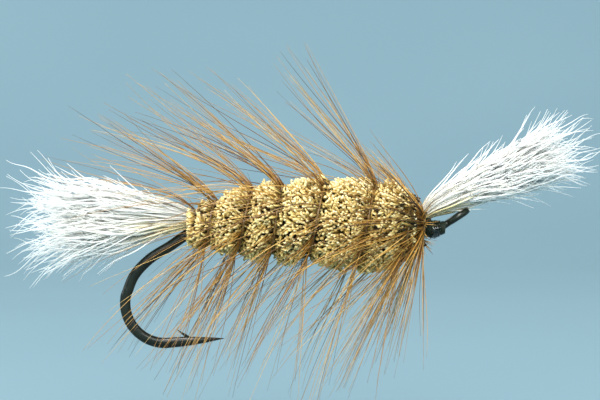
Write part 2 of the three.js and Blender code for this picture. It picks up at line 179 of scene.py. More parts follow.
class Piece:
    """Gathers closed tubes and lofts into one mesh with a tidy UV cell for each of them."""

    def __init__(self, cells):
        self.columns = max(1, round(math.sqrt(cells / 6)))
        self.rows = math.ceil(cells / self.columns)
        self.used = 0
        self.points, self.faces, self.uvs, self.along, self.tint = [], [], [], [], []
        self.count = 0

    def add_rings(self, rings, tint, closed=False, along=None):
        """Skins (N, S, sides, 3) rings, capped at both ends, or joined last to first when closed."""
        many, length, sides = rings.shape[:3]
        steps = np.arange(length if closed else length - 1)
        turn = np.arange(sides)
        here = steps[:, None] * sides + turn
        there = steps[:, None] * sides + (turn + 1) % sides
        next_here = (here + sides) % (length * sides)
        next_there = (there + sides) % (length * sides)
        quads = np.stack([here, there, next_there, next_here], -1).reshape(-1, 4)
        starts = self.count + np.arange(many) * length * sides
        cell = self.used + np.arange(many)
        corner = np.stack([cell % self.columns / self.columns, cell // self.columns / self.rows], -1)
        spread = np.array([0.94 / self.columns, 0.8 / self.rows])
        u = np.stack([steps, steps, steps + 1, steps + 1], -1)[:, None] / len(steps)
        v = np.stack([turn, turn + 1, turn + 1, turn], -1)[None] / sides
        uv = np.stack(np.broadcast_arrays(u, v), -1).reshape(-1, 4, 2)
        self.faces.append((starts[:, None, None] + quads).reshape(-1, 4))
        self.uvs.append((corner[:, None, None] + uv * spread).reshape(-1, 2))
        if not closed:
            caps = np.stack([turn[::-1], (length - 1) * sides + turn])
            cap_u = np.repeat([[0.0], [1.0]], sides, 1)
            cap_uv = np.stack([cap_u, np.stack([turn[::-1], turn]) / sides], -1)
            self.faces.append((starts[:, None, None] + caps).reshape(-1, sides))
            self.uvs.append((corner[:, None, None] + cap_uv * spread).reshape(-1, 2))
        share = np.linspace(0, 1, length) if along is None else np.asarray(along, float)
        self.points.append(rings.reshape(-1, 3))
        self.along.append(np.broadcast_to(share[None, :, None], (many, length, sides)).ravel())
        self.tint.append(np.repeat(np.broadcast_to(np.asarray(tint, float), (many,)), length * sides))
        self.used += many
        self.count += many * length * sides

    def add_tubes(self, paths, radii, sides, tint, flatness=1.0, up=None, along=None):
        self.add_rings(tube_rings(paths, radii, sides, flatness, up), tint, along=along)

    def build(self, name, material, slot, *nodes):
        """Makes the object, hands it to the frame and returns it."""
        points = np.concatenate(self.points) * MM
        sizes = np.concatenate([np.full(len(f), f.shape[1]) for f in self.faces])
        corners = np.concatenate([f.ravel() for f in self.faces])
        mesh = bpy.data.meshes.new(name)
        mesh.vertices.add(len(points))
        mesh.vertices.foreach_set("co", points.ravel().astype(np.float32))
        mesh.loops.add(len(corners))
        mesh.loops.foreach_set("vertex_index", corners.astype(np.int32))
        mesh.polygons.add(len(sizes))
        mesh.polygons.foreach_set("loop_start", (np.cumsum(sizes) - sizes).astype(np.int32))
        mesh.update(calc_edges=True)
        mesh.shade_smooth()
        layer = mesh.uv_layers.new(name=UV_LAYER)
        layer.uv.foreach_set("vector", np.concatenate(self.uvs).ravel().astype(np.float32))
        for label, values in (("along", self.along), ("tint", self.tint)):
            field = mesh.attributes.new(label, "FLOAT", "POINT")
            field.data.foreach_set("value", np.concatenate(values).astype(np.float32))
        mesh.materials.append(material)
        thing = bpy.data.objects.new(name, mesh)
        bpy.context.scene.collection.objects.link(thing)
        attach(thing, "root")
        if nodes:
            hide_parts(*nodes)
        return thing


# ---- Materials ----

class Look:
    """A Principled material with short calls for the nodes that feed it."""

    def __init__(self, name, **constants):
        self.material = bpy.data.materials.new(name)
        self.material.use_nodes = True
        self.nodes = self.material.node_tree.nodes
        self.links = self.material.node_tree.links
        self.shader = self.nodes["Principled BSDF"]
        for label, value in constants.items():
            self.shader.inputs[label.replace("_", " ")].default_value = value

    def link(self, source, target):
        self.links.new(source, target)

    def attribute(self, name):
        node = self.nodes.new("ShaderNodeAttribute")
        node.attribute_name = name
        return node.outputs["Fac"]

    def place(self, stretch=(1, 1, 1)):
        """Position in the object, in metres, with each axis stretched."""
        coords = self.nodes.new("ShaderNodeTexCoord")
        mapping = self.nodes.new("ShaderNodeMapping")
        mapping.inputs["Scale"].default_value = stretch
        self.link(coords.outputs["Object"], mapping.inputs["Vector"])
        return mapping.outputs["Vector"]

    def noise(self, scale, detail=3, vector=None, roughness=0.55):
        node = self.nodes.new("ShaderNodeTexNoise")
        node.inputs["Scale"].default_value = scale
        node.inputs["Detail"].default_value = detail
        node.inputs["Roughness"].default_value = roughness
        self.link(vector or self.place(), node.inputs["Vector"])
        return node.outputs["Fac"]

    def ramp(self, factor, stops):
        node = self.nodes.new("ShaderNodeValToRGB")
        ramp = node.color_ramp
        for spot, _ in stops[2:]:
            ramp.elements.new(spot)
        for element, (spot, colour) in zip(ramp.elements, sorted(stops, key=lambda s: s[0])):
            element.position = spot
            element.color = (*colour, 1)
        self.link(factor, node.inputs["Fac"])
        return node.outputs["Color"]

    def mix(self, kind, first, second, factor=None):
        node = self.nodes.new("ShaderNodeMix")
        node.data_type = "RGBA"
        node.blend_type = kind
        node.inputs["Factor"].default_value = 1.0
        if factor:
            self.link(factor, node.inputs["Factor"])
        self.link(first, node.inputs[6])
        self.link(second, node.inputs[7])
        return node.outputs[2]

    def spread(self, factor, low, high):
        """Turns 0 to 1 into low to high."""
        node = self.nodes.new("ShaderNodeMapRange")
        node.inputs["To Min"].default_value = low
        node.inputs["To Max"].default_value = high
        self.link(factor, node.inputs["Value"])
        return node.outputs["Result"]

    def bump(self, height, strength, distance):
        node = self.nodes.new("ShaderNodeBump")
        node.inputs["Strength"].default_value = strength
        node.inputs["Distance"].default_value = distance
        self.link(height, node.inputs["Height"])
        self.link(node.outputs["Normal"], self.shader.inputs["Normal"])

    def colour(self, source):
        self.link(source, self.shader.inputs["Base Color"])

    def rough(self, factor, low, high):
        self.link(self.spread(factor, low, high), self.shader.inputs["Roughness"])


def calf_hair_look():
    """White, faintly translucent hair; hairs of low tint stay straw-coloured well out from the root."""
    look = Look("calf_hair", Specular_IOR_Level=0.3, Sheen_Weight=0.15, Subsurface_Weight=0.8,
                Subsurface_Scale=0.0008, Subsurface_Radius=(1.0, 0.97, 0.9))
    along = look.attribute("along")
    white = look.ramp(along, [
        (0.0, (0.6, 0.48, 0.24)),
        (0.1, (0.86, 0.78, 0.56)),
        (0.18, (0.88, 0.86, 0.77)),
        (0.32, (0.88, 0.88, 0.84)),
        (1.0, (0.87, 0.875, 0.85)),
    ])
    straw = look.ramp(along, [
        (0.0, (0.42, 0.28, 0.08)),
        (0.22, (0.66, 0.5, 0.19)),
        (0.38, (0.85, 0.75, 0.45)),
        (0.52, (0.88, 0.86, 0.77)),
        (1.0, (0.87, 0.87, 0.84)),
    ])
    coloured = look.mix("MIX", straw, white, look.attribute("tint"))
    mottle = look.ramp(look.noise(900), [(0.3, (0.95, 0.935, 0.9)), (0.7, (1, 1, 1))])
    look.colour(look.mix("MULTIPLY", coloured, mottle))
    look.rough(look.noise(2500), 0.35, 0.55)
    return look.material


def deer_hair_look():
    """Clipped ends: pale cream at the cut and olive brown along the hair, their own colour, darkening to
    near black towards the root as painted shade in the depth between the ends.
    """
    look = Look("deer_hair", Specular_IOR_Level=0.3)
    # Painted shade: the near-black stops towards the root stand for the shadow deep between the hair ends
    # and on the core.
    by_depth_and_painted_shade = look.ramp(look.attribute("along"), [
        (0.0, (0.022, 0.015, 0.005)),
        (0.3, (0.06, 0.042, 0.013)),
        (0.5, (0.29, 0.205, 0.065)),
        (0.68, (0.66, 0.51, 0.205)),
        (0.84, (0.85, 0.725, 0.39)),
        (1.0, (0.95, 0.865, 0.59)),
    ])
    by_hair = look.ramp(look.attribute("tint"), [
        (0.0, (0.25, 0.17, 0.07)),
        (0.2, (0.5, 0.375, 0.165)),
        (0.45, (0.8, 0.69, 0.43)),
        (0.8, (1, 0.955, 0.82)),
        (1.0, (1, 1, 1)),
    ])
    coloured = look.mix("MULTIPLY", by_depth_and_painted_shade, by_hair)
    grain = look.noise(4200, detail=4)
    mottle = look.ramp(grain, [(0.3, (0.78, 0.74, 0.66)), (0.62, (1, 1, 1))])
    look.colour(look.mix("MULTIPLY", coloured, mottle))
    look.rough(grain, 0.55, 0.8)
    look.bump(grain, 0.25, 0.00004)
    return look.material


def hackle_look():
    """Glossy barbs, from dark brown to golden ginger, dark at the quill."""
    look = Look("hackle_barb", Specular_IOR_Level=0.55)
    by_barb = look.ramp(look.attribute("tint"), [
        (0.0, (0.06, 0.026, 0.006)),
        (0.2, (0.19, 0.078, 0.013)),
        (0.5, (0.46, 0.235, 0.038)),
        (0.8, (0.68, 0.4, 0.088)),
        (1.0, (0.82, 0.57, 0.22)),
    ])
    by_length = look.ramp(look.attribute("along"), [
        (0.0, (0.55, 0.48, 0.42)),
        (0.12, (0.9, 0.86, 0.8)),
        (0.6, (1, 1, 1)),
        (1.0, (0.82, 0.84, 0.86)),
    ])
    streak = look.noise(1600, detail=2)
    mottle = look.ramp(streak, [(0.35, (0.75, 0.7, 0.62)), (0.65, (1, 1, 1))])
    coloured = look.mix("MULTIPLY", by_barb, by_length)
    look.colour(look.mix("MULTIPLY", coloured, mottle))
    look.rough(streak, 0.25, 0.42)
    return look.material


def quill_look():
    """Satin brown quill with streaks along it."""
    look = Look("hackle_quill", Specular_IOR_Level=0.5)
    streak = look.noise(1200, vector=look.place((4, 1, 1)))
    look.colour(look.ramp(streak, [
        (0.3, (0.06, 0.032, 0.008)),
        (0.55, (0.16, 0.085, 0.018)),
        (0.75, (0.28, 0.16, 0.04)),
    ]))
    look.rough(streak, 0.35, 0.55)
    look.bump(streak, 0.3, 0.00003)
    return look.material


def hook_look():
    """Black japanned wire: deep gloss with faint runs and wear."""
    look = Look("hook_wire", Metallic=0.0, Specular_IOR_Level=0.2, Coat_Weight=0.06, Coat_Roughness=0.12)
    fine = look.noise(2600, detail=4)
    broad = look.noise(420, detail=2)
    base = look.ramp(broad, [(0.35, (0.004, 0.006, 0.004)), (0.7, (0.011, 0.014, 0.009))])
    worn = look.ramp(fine, [(0.62, (0, 0, 0)), (0.78, (0.03, 0.028, 0.02))])
    look.colour(look.mix("ADD", base, worn))
    look.rough(fine, 0.12, 0.34)
    look.bump(broad, 0.12, 0.00006)
    return look.material


def thread_look():
    """Waxed black thread with the fine twist of its filaments."""
    look = Look("tying_thread", Specular_IOR_Level=0.15)
    fibre = look.noise(5200, vector=look.place((1.0, 0.35, 0.35)))
    look.colour(look.ramp(fibre, [
        (0.3, (0.005, 0.008, 0.005)),
        (0.6, (0.014, 0.021, 0.013)),
        (0.8, (0.045, 0.05, 0.033)),
    ]))
    look.rough(fibre, 0.3, 0.5)
    look.bump(fibre, 0.5, 0.00003)
    return look.material


def cement_look():
    """Clear, slightly amber cement, thin enough to show the thread."""
    look = Look("head_coat", Transmission_Weight=1.0, IOR=1.35, Specular_IOR_Level=0.2)
    wave = look.noise(700, detail=1)
    look.colour(look.ramp(wave, [(0.3, (0.86, 0.84, 0.76)), (0.7, (0.95, 0.94, 0.9))]))
    look.rough(wave, 0.03, 0.1)
    look.bump(wave, 0.2, 0.00005)
    return look.material


# ---- Body and quill shapes shared with the CAD model ----

def profile_at(x):
    radius = np.interp(x, BODY_PROFILE[:, 0], BODY_PROFILE[:, 1])
    height = np.interp(x, BODY_PROFILE[:, 0], BODY_PROFILE[:, 2])
    return radius, height


def quill_x(turns):
    last = len(TURN_TOPS) - 1
    inside = np.interp(turns, np.arange(last + 1), TURN_TOPS)
    before = np.minimum(turns, 0) * (TURN_TOPS[1] - TURN_TOPS[0])
    after = np.maximum(np.asarray(turns) - last, 0) * (TURN_TOPS[last] - TURN_TOPS[last - 1])
    return inside + before + after


def groove_distance(x, angle):
    """How far a place on the body is from the nearest turn of the quill, along the shank."""
    turns = np.arange(BODY_TURNS + 2)[:, None] - np.asarray(angle).ravel()[None] / TAU
    return np.abs(np.asarray(x).ravel()[None] - quill_x(turns)).min(0).reshape(np.shape(angle))


def body_radius(x, angle):
    """Body radius at x and at an angle (0 to tau) from the top towards the near side."""
    smooth = profile_at(x)[0]
    groove = GROOVE_DEPTH * np.exp(-((groove_distance(x, angle) / GROOVE_HALF_WIDTH) ** 2))
    return smooth - np.minimum(groove, GROOVE_SHARE * smooth)


def smoothstep(x, low, high):
    t = np.clip((x - low) / (high - low), 0, 1)
    return t * t * (3 - 2 * t)


def quill_radius(turns):
    share = np.clip(turns / (len(TURN_TOPS) - 1), 0, 1)
    return QUILL_REAR_RADIUS + (QUILL_FRONT_RADIUS - QUILL_REAR_RADIUS) * share


def quill_at(turns, lift=0.0):
    """Centre of the quill after some turns, and the outward direction there."""
    turns = np.asarray(turns, float)
    x = quill_x(turns)
    angle = -TAU * turns
    on_collar = smoothstep(turns, BODY_TURNS, BODY_TURNS + COLLAR_DROP)
    on_body = body_radius(x, np.mod(angle, TAU)) + quill_radius(turns) + QUILL_CLEARANCE - QUILL_SINK
    r = on_body * (1 - on_collar) + COLLAR_RADIUS * on_collar + lift
    z = profile_at(x)[1] * (1 - on_collar) + COLLAR_Z * on_collar
    out = np.stack([np.zeros_like(x), -np.sin(angle), np.cos(angle)], -1)
    centre = np.stack([x, np.zeros_like(x), z], -1) + out * r[..., None]
    return centre, out


# ---- Hook ----

def smooth_path(points, steps):
    """Centripetal Catmull-Rom curve through points; extra columns are carried along."""
    points = np.asarray(points, float)
    padded = np.vstack([2 * points[0] - points[1], points, 2 * points[-1] - points[-2]])
    spans = np.linalg.norm(np.diff(padded[:, :3], axis=0), axis=1)
    knots = np.concatenate([[0], np.cumsum(np.sqrt(spans))])
    out = []
    for i in range(1, len(padded) - 2):
        t0, t1, t2, t3 = knots[i - 1:i + 3]
        t = np.linspace(t1, t2, steps, endpoint=False)[:, None]
        p0, p1, p2, p3 = padded[i - 1:i + 3]
        a1 = (t1 - t) / (t1 - t0) * p0 + (t - t0) / (t1 - t0) * p1
        a2 = (t2 - t) / (t2 - t1) * p1 + (t - t1) / (t2 - t1) * p2
        a3 = (t3 - t) / (t3 - t2) * p2 + (t - t2) / (t3 - t2) * p3
        b1 = (t2 - t) / (t2 - t0) * a1 + (t - t0) / (t2 - t0) * a2
        b2 = (t3 - t) / (t3 - t1) * a2 + (t - t1) / (t3 - t1) * a3
        out.append((t2 - t) / (t2 - t1) * b1 + (t - t1) / (t2 - t1) * b2)
    return np.vstack(out + [points[-1:]])


def arc_point(degrees):
    angle = math.radians(degrees)
    return BEND_CENTRE + BEND_RADIUS * np.array([math.cos(angle), 0, math.sin(angle)])


def eye_stations():
    """x, y, z, radius, half-thickness, and 1 where the section follows the eye's plane."""
    along = np.array([math.cos(EYE_SLOPE), 0, math.sin(EYE_SLOPE)])
    rows = [
        (-3.75, 0.88, SHANK_Z, 0.1),
        (-3.5, 0.88, SHANK_Z, 0.2),
        (-2.7, 0.84, -1.36, 0.26),
        (-1.75, 0.58, -1.1, 0.32),
    ]
    for angle in np.linspace(math.pi - EYE_GAP_ANGLE, EYE_GAP_ANGLE - math.pi, 17):
        x, y, z = along * EYE_HALF_LENGTH * math.cos(angle) + [0, EYE_HALF_WIDTH * math.sin(angle), 0]
        rows.append((x, y, z, EYE_WIRE_RADIUS))
    rows += [(-1.75, -0.36, -1.1, 0.4), (-2.6, -0.16, -1.34, 0.47)]
    return [(x, y, z, r, r, 1) for x, y, z, r in rows]


def bend_stations():
    """The same columns for the shank, the slope down to the bend, the bend and the point."""
    shank = np.linspace(SHANK_FRONT_X, SHANK_REAR_X, 7)
    rows = [(x, 0, SHANK_Z, WIRE_RADIUS, WIRE_RADIUS) for x in shank]
    slope = smooth_path([
        (SHANK_REAR_X, 0, SHANK_Z),
        (-29.5, 0, -1.85),
        (-31.6, 0, -3.22),
        (-33.8, 0, -4.62),
        (-35.5, 0, -6.45),
        arc_point(BEND_ARC[0]),
    ], 4)[1:-1]
    for i, p in enumerate(slope):
        flat = WIRE_RADIUS + (FORGED_HALF_THICKNESS - WIRE_RADIUS) * smoothstep(i / len(slope), 0.1, 0.6)
        rows.append((*p, WIRE_RADIUS, flat))
    for degrees in np.linspace(*BEND_ARC, 25):
        rows.append((*arc_point(degrees), WIRE_RADIUS, FORGED_HALF_THICKNESS))
    start = arc_point(BEND_ARC[1])
    for along, r in POINT_TAPER:
        rows.append((*(start + (POINT_TIP - start) * along), r, min(r, FORGED_HALF_THICKNESS)))
    return [(*row, 0) for row in rows]


def hook_piece(material):
    """The wire in one sweep: round in the shank and eye, flattened where the bend is forged."""
    line = smooth_path(eye_stations() + bend_stations(), 4)
    centre, radius, flat, in_eye = line[:, :3], line[:, 3:4], line[:, 4:5], line[:, 5:6]
    tangent = unit(np.gradient(centre, axis=0))
    eye_up = np.array([-math.sin(EYE_SLOPE), 0, math.cos(EYE_SLOPE)])
    bend_up = np.cross([0.0, 1.0, 0.0], tangent)
    up = unit(in_eye * (eye_up - tangent * (tangent @ eye_up)[:, None]) + (1 - in_eye) * bend_up)
    side = np.cross(tangent, up)
    angles = TAU * (np.arange(WIRE_SIDES) + 0.5) / WIRE_SIDES
    squareness = 1 + 0.35 * (1 - flat / np.maximum(radius, 1e-6))
    cosine, sine = np.cos(angles)[None], np.sin(angles)[None]
    high = np.sign(cosine) * np.abs(cosine) ** (1 / squareness) * radius
    wide = np.sign(sine) * np.abs(sine) ** (1 / squareness ** 2) * flat
    rings = centre[:, None] + high[..., None] * up[:, None] + wide[..., None] * side[:, None]
    piece = Piece(1)
    piece.add_rings(rings[None], 0.5)
    cut_barb(piece.build("hook_wire", material, "hook_wire", "hook"))


def cut_barb(hook):
    """Joins the raised barb to the wire as one closed body."""
    spine = smooth_path([(x, 0, z, r) for x, z, r in BARB_SPINE], 3)
    piece = Piece(1)
    piece.add_tubes(spine[None, :, :3], spine[None, :, 3], 8, 0.5, flatness=0.8)
    points = np.concatenate(piece.points) * MM
    faces = [face for group in piece.faces for face in group.tolist()]
    mesh = bpy.data.meshes.new("barb_tool")
    mesh.from_pydata(points.tolist(), [], faces)
    tool = bpy.data.objects.new("barb_tool", mesh)
    bpy.context.scene.collection.objects.link(tool)
    union = hook.modifiers.new("barb", "BOOLEAN")
    union.operation = "UNION"
    union.solver = "EXACT"
    union.object = tool
    graph = bpy.context.evaluated_depsgraph_get()
    merged = bpy.data.meshes.new_from_object(hook.evaluated_get(graph))
    hook.modifiers.clear()
    hook.data = merged
    bpy.data.objects.remove(tool)


# ---- Clipped deer hair ----

def bundle_span(index):
    length = (BODY_FRONT_X - BODY_REAR_X) / BUNDLE_COUNT
    return BODY_REAR_X + index * length, BODY_REAR_X + (index + 1) * length


def hair_bundle(index, material):
    """One bundle: a dark packed core, and clipped hair ends standing out of it."""
    rng = np.random.default_rng(100 + index)
    rear, front = bundle_span(index)
    piece = Piece(1600)
    add_core(piece, rear, front, index == 0)
    add_clipped_hairs(piece, rng, rear, front)
    if index == BUNDLE_COUNT - 1:
        add_end_hairs(piece, rng, front, 1)
    if index == 0:
        add_end_hairs(piece, rng, rear, -1)
    piece.build(f"deer_hair_{index + 1}", material, "deer_hair", f"hair_bundle_{index + 1}")


def oval_ring(x, high, wide, z, angles):
    """Points round the shank's direction, on an oval centred at height z."""
    return np.stack([np.full(len(angles), x), -wide * np.sin(angles), z + high * np.cos(angles)], -1)


def add_core(piece, rear, front, at_tail):
    """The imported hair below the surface: a sleeve round the shank, or round the tail butts."""
    xs = np.linspace(rear + CORE_GAP, front - CORE_GAP, CORE_RINGS)
    angles = TAU * np.arange(CORE_SIDES) / CORE_SIDES
    outer = []
    for x in xs:
        r = np.maximum(body_radius(np.full(CORE_SIDES, x), angles) - CORE_DEPTH, CORE_LEAST_RADIUS)
        outer.append(oval_ring(x, r, r, profile_at(x)[1], angles))
    inner = []
    for x in xs[::-1]:
        bore = TAIL_BUTTS if at_tail and x < TAIL_BUTTS_FRONT_X else SHANK_BORE
        inner.append(oval_ring(x, *bore, angles))
    rings = np.array(outer + inner)
    # Painted shade: along 0.12 puts the packed core at the near-black end of the deer hair's ramp.
    piece.add_rings(rings[None], 0.35, closed=True, along=np.full(len(rings), 0.12))


def scattered(rng, spacing, rear, front):
    """Places on the body surface, one in each cell of a loosely shaken grid."""
    xs, angles = [], []
    for x in np.arange(rear + spacing / 2, front, spacing):
        around = int(TAU * profile_at(x)[0] / spacing)
        angles.append(TAU * (np.arange(around) + rng.uniform(-0.6, 0.6, around) + rng.random()) / around)
        xs.append(x + rng.uniform(-0.6, 0.6, around) * spacing)
    return np.clip(np.concatenate(xs), rear, front), np.mod(np.concatenate(angles), TAU)


def tufts(rng, x, angle, size):
    """A shared lean for neighbouring hairs, and the number of the tuft that each belongs to."""
    seeds = int(len(x) * HAIR_SPACING ** 2 / size ** 2) + 4
    pick = rng.choice(len(x), seeds, replace=False)
    radius = profile_at(x)[0]
    place = np.stack([x, radius * np.cos(angle), radius * np.sin(angle)], -1)
    nearest = np.linalg.norm(place[:, None] - place[pick][None], axis=-1).argmin(1)
    return rng.normal(0, 1, (seeds, 3))[nearest]


def clipped_lines(tip, direction, length):
    """Centre lines that end at the tips, with most stations near the cut."""
    return tip[:, None] - direction[:, None] * (length[:, None] * (1 - CLIPPED_STATIONS))[..., None]


def add_clipped_hairs(piece, rng, rear, front):
    """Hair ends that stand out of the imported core, leaning in small tufts."""
    x, angle = scattered(rng, HAIR_SPACING, rear, front)
    many = len(x)
    out = np.stack([np.zeros(many), -np.sin(angle), np.cos(angle)], -1)
    around = np.stack([np.zeros(many), -np.cos(angle), -np.sin(angle)], -1)
    height = np.cos(angle)
    shared = tufts(rng, x, angle, TUFT_SIZE)
    own = rng.normal(0, 1, (many, 2)) * np.where(rng.random(many) < 0.3, 0.75, 0.3)[:, None]
    near_groove = np.exp(-((groove_distance(x, angle) / (0.7 - 0.15 * height)) ** 2))
    flare = (x - (rear + front) / 2) / (front - rear)
    back = own[:, 0] + 0.38 * shared[:, 0] - 0.55 + 0.5 * flare
    turn = own[:, 1] + 0.38 * shared[:, 1]
    direction = unit(out + np.array([1.0, 0, 0]) * back[:, None] + around * turn[:, None])
    sunk = (0.55 - 0.1 * height) * near_groove
    r = body_radius(x, angle) + rng.normal(0, 0.18, many) + 0.14 * shared[:, 2] - sunk
    tip = np.stack([x, np.zeros(many), profile_at(x)[1]], -1) + out * r[:, None]
    length = rng.uniform(1.5, 2.3, many)
    bend = unit(rng.normal(0, 1, (many, 3))) * 0.08
    paths = clipped_lines(tip, direction, length)
    paths = paths + bend[:, None] * np.sin(math.pi * CLIPPED_STATIONS)[None, :, None]
    radii = rng.uniform(0.125, 0.185, many)[:, None] * CLIPPED_TAPER
    # Painted shade: hair ends darkened near the quill's grooves, more so on the sides and underneath, and
    # every end a little darker the further it sits towards the underside.
    painted_groove_shade = 1 - near_groove * (0.6 - 0.25 * height)
    tint = rng.beta(3.0, 1.5, many) * (0.86 + 0.14 * height) * painted_groove_shade
    tint[rng.random(many) < 0.05] *= 0.15
    tint = np.clip(tint, 0, 1)
    piece.add_tubes(paths, radii, CLIPPED_SIDES, tint, CLIPPED_FLATNESS, along=CLIPPED_STATIONS)


def add_end_hairs(piece, rng, x, facing):
    """Hair ends on the cone at the front or rear of the body."""
    many = END_HAIRS
    low = 1.15 if facing > 0 else 1.5
    top = profile_at(x)[0]
    r = np.sqrt(rng.uniform(low ** 2, top ** 2, many))
    angle = rng.uniform(0, TAU, many)
    out = np.stack([np.zeros(many), -np.sin(angle), np.cos(angle)], -1)
    forward = np.array([float(facing), 0, 0])
    direction = unit(forward * (0.8 if facing < 0 else 0.35) + out * 0.9 + rng.normal(0, 0.3, (many, 3)))
    centre = np.array([x, 0, profile_at(x)[1]])
    tip = centre + out * r[:, None] + forward * rng.uniform(0.0, 0.3, many)[:, None]
    paths = clipped_lines(tip, direction, rng.uniform(0.8, 1.3, many))
    radii = rng.uniform(0.11, 0.17, many)[:, None] * CLIPPED_TAPER
    tint = rng.beta(2.5, 2.0, many)
    piece.add_tubes(paths, radii, CLIPPED_SIDES, tint, CLIPPED_FLATNESS, along=CLIPPED_STATIONS)


# ---- Hackle ----

BARB_STEPS = 16
BARBS_PER_TURN = [125, 155, 155, 155, 160, 165]
TURN_FLUFF = 50
COLLAR_BARBS = 300
COLLAR_FLUFF = 150
RUFF_BARBS = 150
RUFF_TURNS = 1.6
# Backward lean of the barbs, in radians, at the top of each turn, at the sides and underneath
BODY_LEAN = {"top": [1.15, 1.04, 0.96, 0.93, 0.9, 0.68, 0.66], "side": 1.12, "bottom": 0.4}
COLLAR_LEAN = {"top": [0.66], "side": 0.95, "bottom": 0.42}
FLUFF_LEAN = {"top": [0.9], "side": 1.0, "bottom": 0.8}
RUFF_LEAN = {"top": [-0.35], "side": 0.0, "bottom": -0.3}
# Length, droop and tone of the barbs, the share of them kept on top, at the sides and underneath, and
# how much shorter they are on top and underneath
BODY_BARB = dict(leans=BODY_LEAN, long=18.8, droop=0.75, tint=0.54, top_share=1.0, side_share=0.32,
                 low_share=0.55, top_short=0.0, low_short=0.09)
REAR_BARB = {**BODY_BARB, "side_share": 0.12}
COLLAR_BARB = dict(leans=COLLAR_LEAN, long=17.0, droop=0.3, tint=0.55, top_share=0.5, side_share=0.5,
                   low_share=0.58, top_short=0.38, low_short=0.09)


def lean_at(turns, height, leans):
    """Backward lean from straight out, where height is 1 on top of the fly and -1 underneath."""
    top = np.interp(turns, np.arange(len(leans["top"])), leans["top"])
    other = np.where(height > 0, top, leans["bottom"])
    return leans["side"] + (other - leans["side"]) * np.abs(height)


def stray(rng, many, spread, clump):
    """How far each barb strays backward and sideways; matted neighbours stray together."""
    group = np.cumsum(rng.random(many) < 1 / clump)
    groups = group[-1] + 1
    group_lean = rng.normal(0, spread, groups)
    group_swing = rng.normal(0, spread * 0.8, groups)
    matting = rng.choice([0.3, 0.65, 0.92], groups)[group]
    own_lean = rng.normal(0, spread, many)
    own_swing = rng.normal(0, spread * 0.8, many)
    lean = matting * group_lean[group] + (1 - matting) * own_lean
    swing = matting * group_swing[group] + (1 - matting) * own_swing
    return lean, swing


def barb_paths(rng, turns, lengths, leans, droop, spread, clump, most_forward=0.05):
    """Centre lines of barbs that leave the quill at the given turns."""
    many = len(turns)
    root, out = quill_at(turns, quill_radius(turns) * 0.4)
    lean_off, swing = stray(rng, many, spread, clump)
    height = out[:, 2]
    lean = np.clip(lean_at(turns, height, leans) + lean_off, most_forward, 1.5)
    around = np.cross([1.0, 0.0, 0.0], out)
    outward = unit(out + around * swing[:, None])
    steps = np.linspace(0, 1, BARB_STEPS)
    settled = 0.64 + 0.4 * (1 - np.exp(-steps / 0.18))
    bow = rng.normal(0.0, 0.12, many)
    turned = np.clip(lean[:, None] * (settled + bow[:, None] * steps), most_forward - 0.1, 1.56)
    heading = np.cos(turned)[..., None] * outward[:, None]
    heading = heading + np.sin(turned)[..., None] * np.array([-1.0, 0, 0])
    sag = droop * (0.25 + 0.75 * np.abs(out[:, 1])) * rng.uniform(0.5, 1.3, many)
    heading[..., 2] -= sag[:, None] * (0.3 + 0.7 * steps) * (height[:, None] < 0.75)
    wander = rng.normal(0, 0.06, (many, 1, 3))
    wave = np.sin(math.pi * steps * 1.3 + rng.uniform(0, 3, (many, 1)))
    heading = unit(heading + wander * wave[..., None])
    stride = lengths[:, None, None] / (BARB_STEPS - 1)
    moved = np.cumsum(heading[:, :-1] * stride, axis=1)
    return np.concatenate([root[:, None], root[:, None] + moved], axis=1)


def add_barbs(piece, rng, start, end, count, barb):
    """Full-length barbs from one turn of the quill to another."""
    turns = np.sort(rng.uniform(start, end, count))
    height = np.cos(TAU * turns)
    at_side = np.abs(np.sin(TAU * turns)) * (height > -0.55) > 0.6
    above = np.where(height > 0.5, barb["top_share"], np.where(height < -0.3, barb["low_share"], 1.0))
    share = np.where(at_side, barb["side_share"], above)
    kept = rng.random(count) < share
    turns = turns[kept]
    height = height[kept]
    count = len(turns)
    high = np.clip(height, 0, 1)
    low = np.clip(-height, 0, 1)
    trim = barb["top_short"] * high + barb["low_short"] * low
    lengths = barb["long"] * rng.uniform(0.72, 1.05, count) * (1 - trim)
    paths = barb_paths(rng, turns, lengths, barb["leans"], barb["droop"], 0.22, 4)
    base = rng.uniform(0.055, 0.085, count) * (1 - 0.14 * low)
    radii = base[:, None] * (1 - 0.74 * np.linspace(0, 1, BARB_STEPS) ** 1.6)
    tint = np.clip(rng.normal(barb["tint"], 0.2, count), 0, 1)
    tint[rng.random(count) < 0.14] *= 0.25
    piece.add_tubes(paths, radii, 4, tint, flatness=0.6)


def add_fluff(piece, rng, start, end, count, tint_centre):
    """Short weak barbs that fill the groove along the quill."""
    turns = np.sort(rng.uniform(start, end, count))
    lengths = rng.uniform(1.2, 3.4, count)
    paths = barb_paths(rng, turns, lengths, FLUFF_LEAN, 0.1, 0.4, 2)
    radii = np.full((count, 1), 0.04) * (1 - 0.8 * np.linspace(0, 1, BARB_STEPS))
    piece.add_tubes(paths, radii, 3, np.clip(rng.normal(tint_centre, 0.15, count), 0, 1))


def add_ruff(piece, rng, start, end, count):
    """Short broken barbs that stand forward over the edge of the head."""
    turns = np.sort(rng.uniform(start, end, count))
    lengths = rng.uniform(0.5, 2.2, count)
    paths = barb_paths(rng, turns, lengths, RUFF_LEAN, 0.0, 0.8, 2, most_forward=-1.3)
    radii = np.full((count, 1), 0.05) * (1 - 0.7 * np.linspace(0, 1, BARB_STEPS))
    piece.add_tubes(paths, radii, 3, np.clip(rng.normal(0.55, 0.3, count), 0, 1))


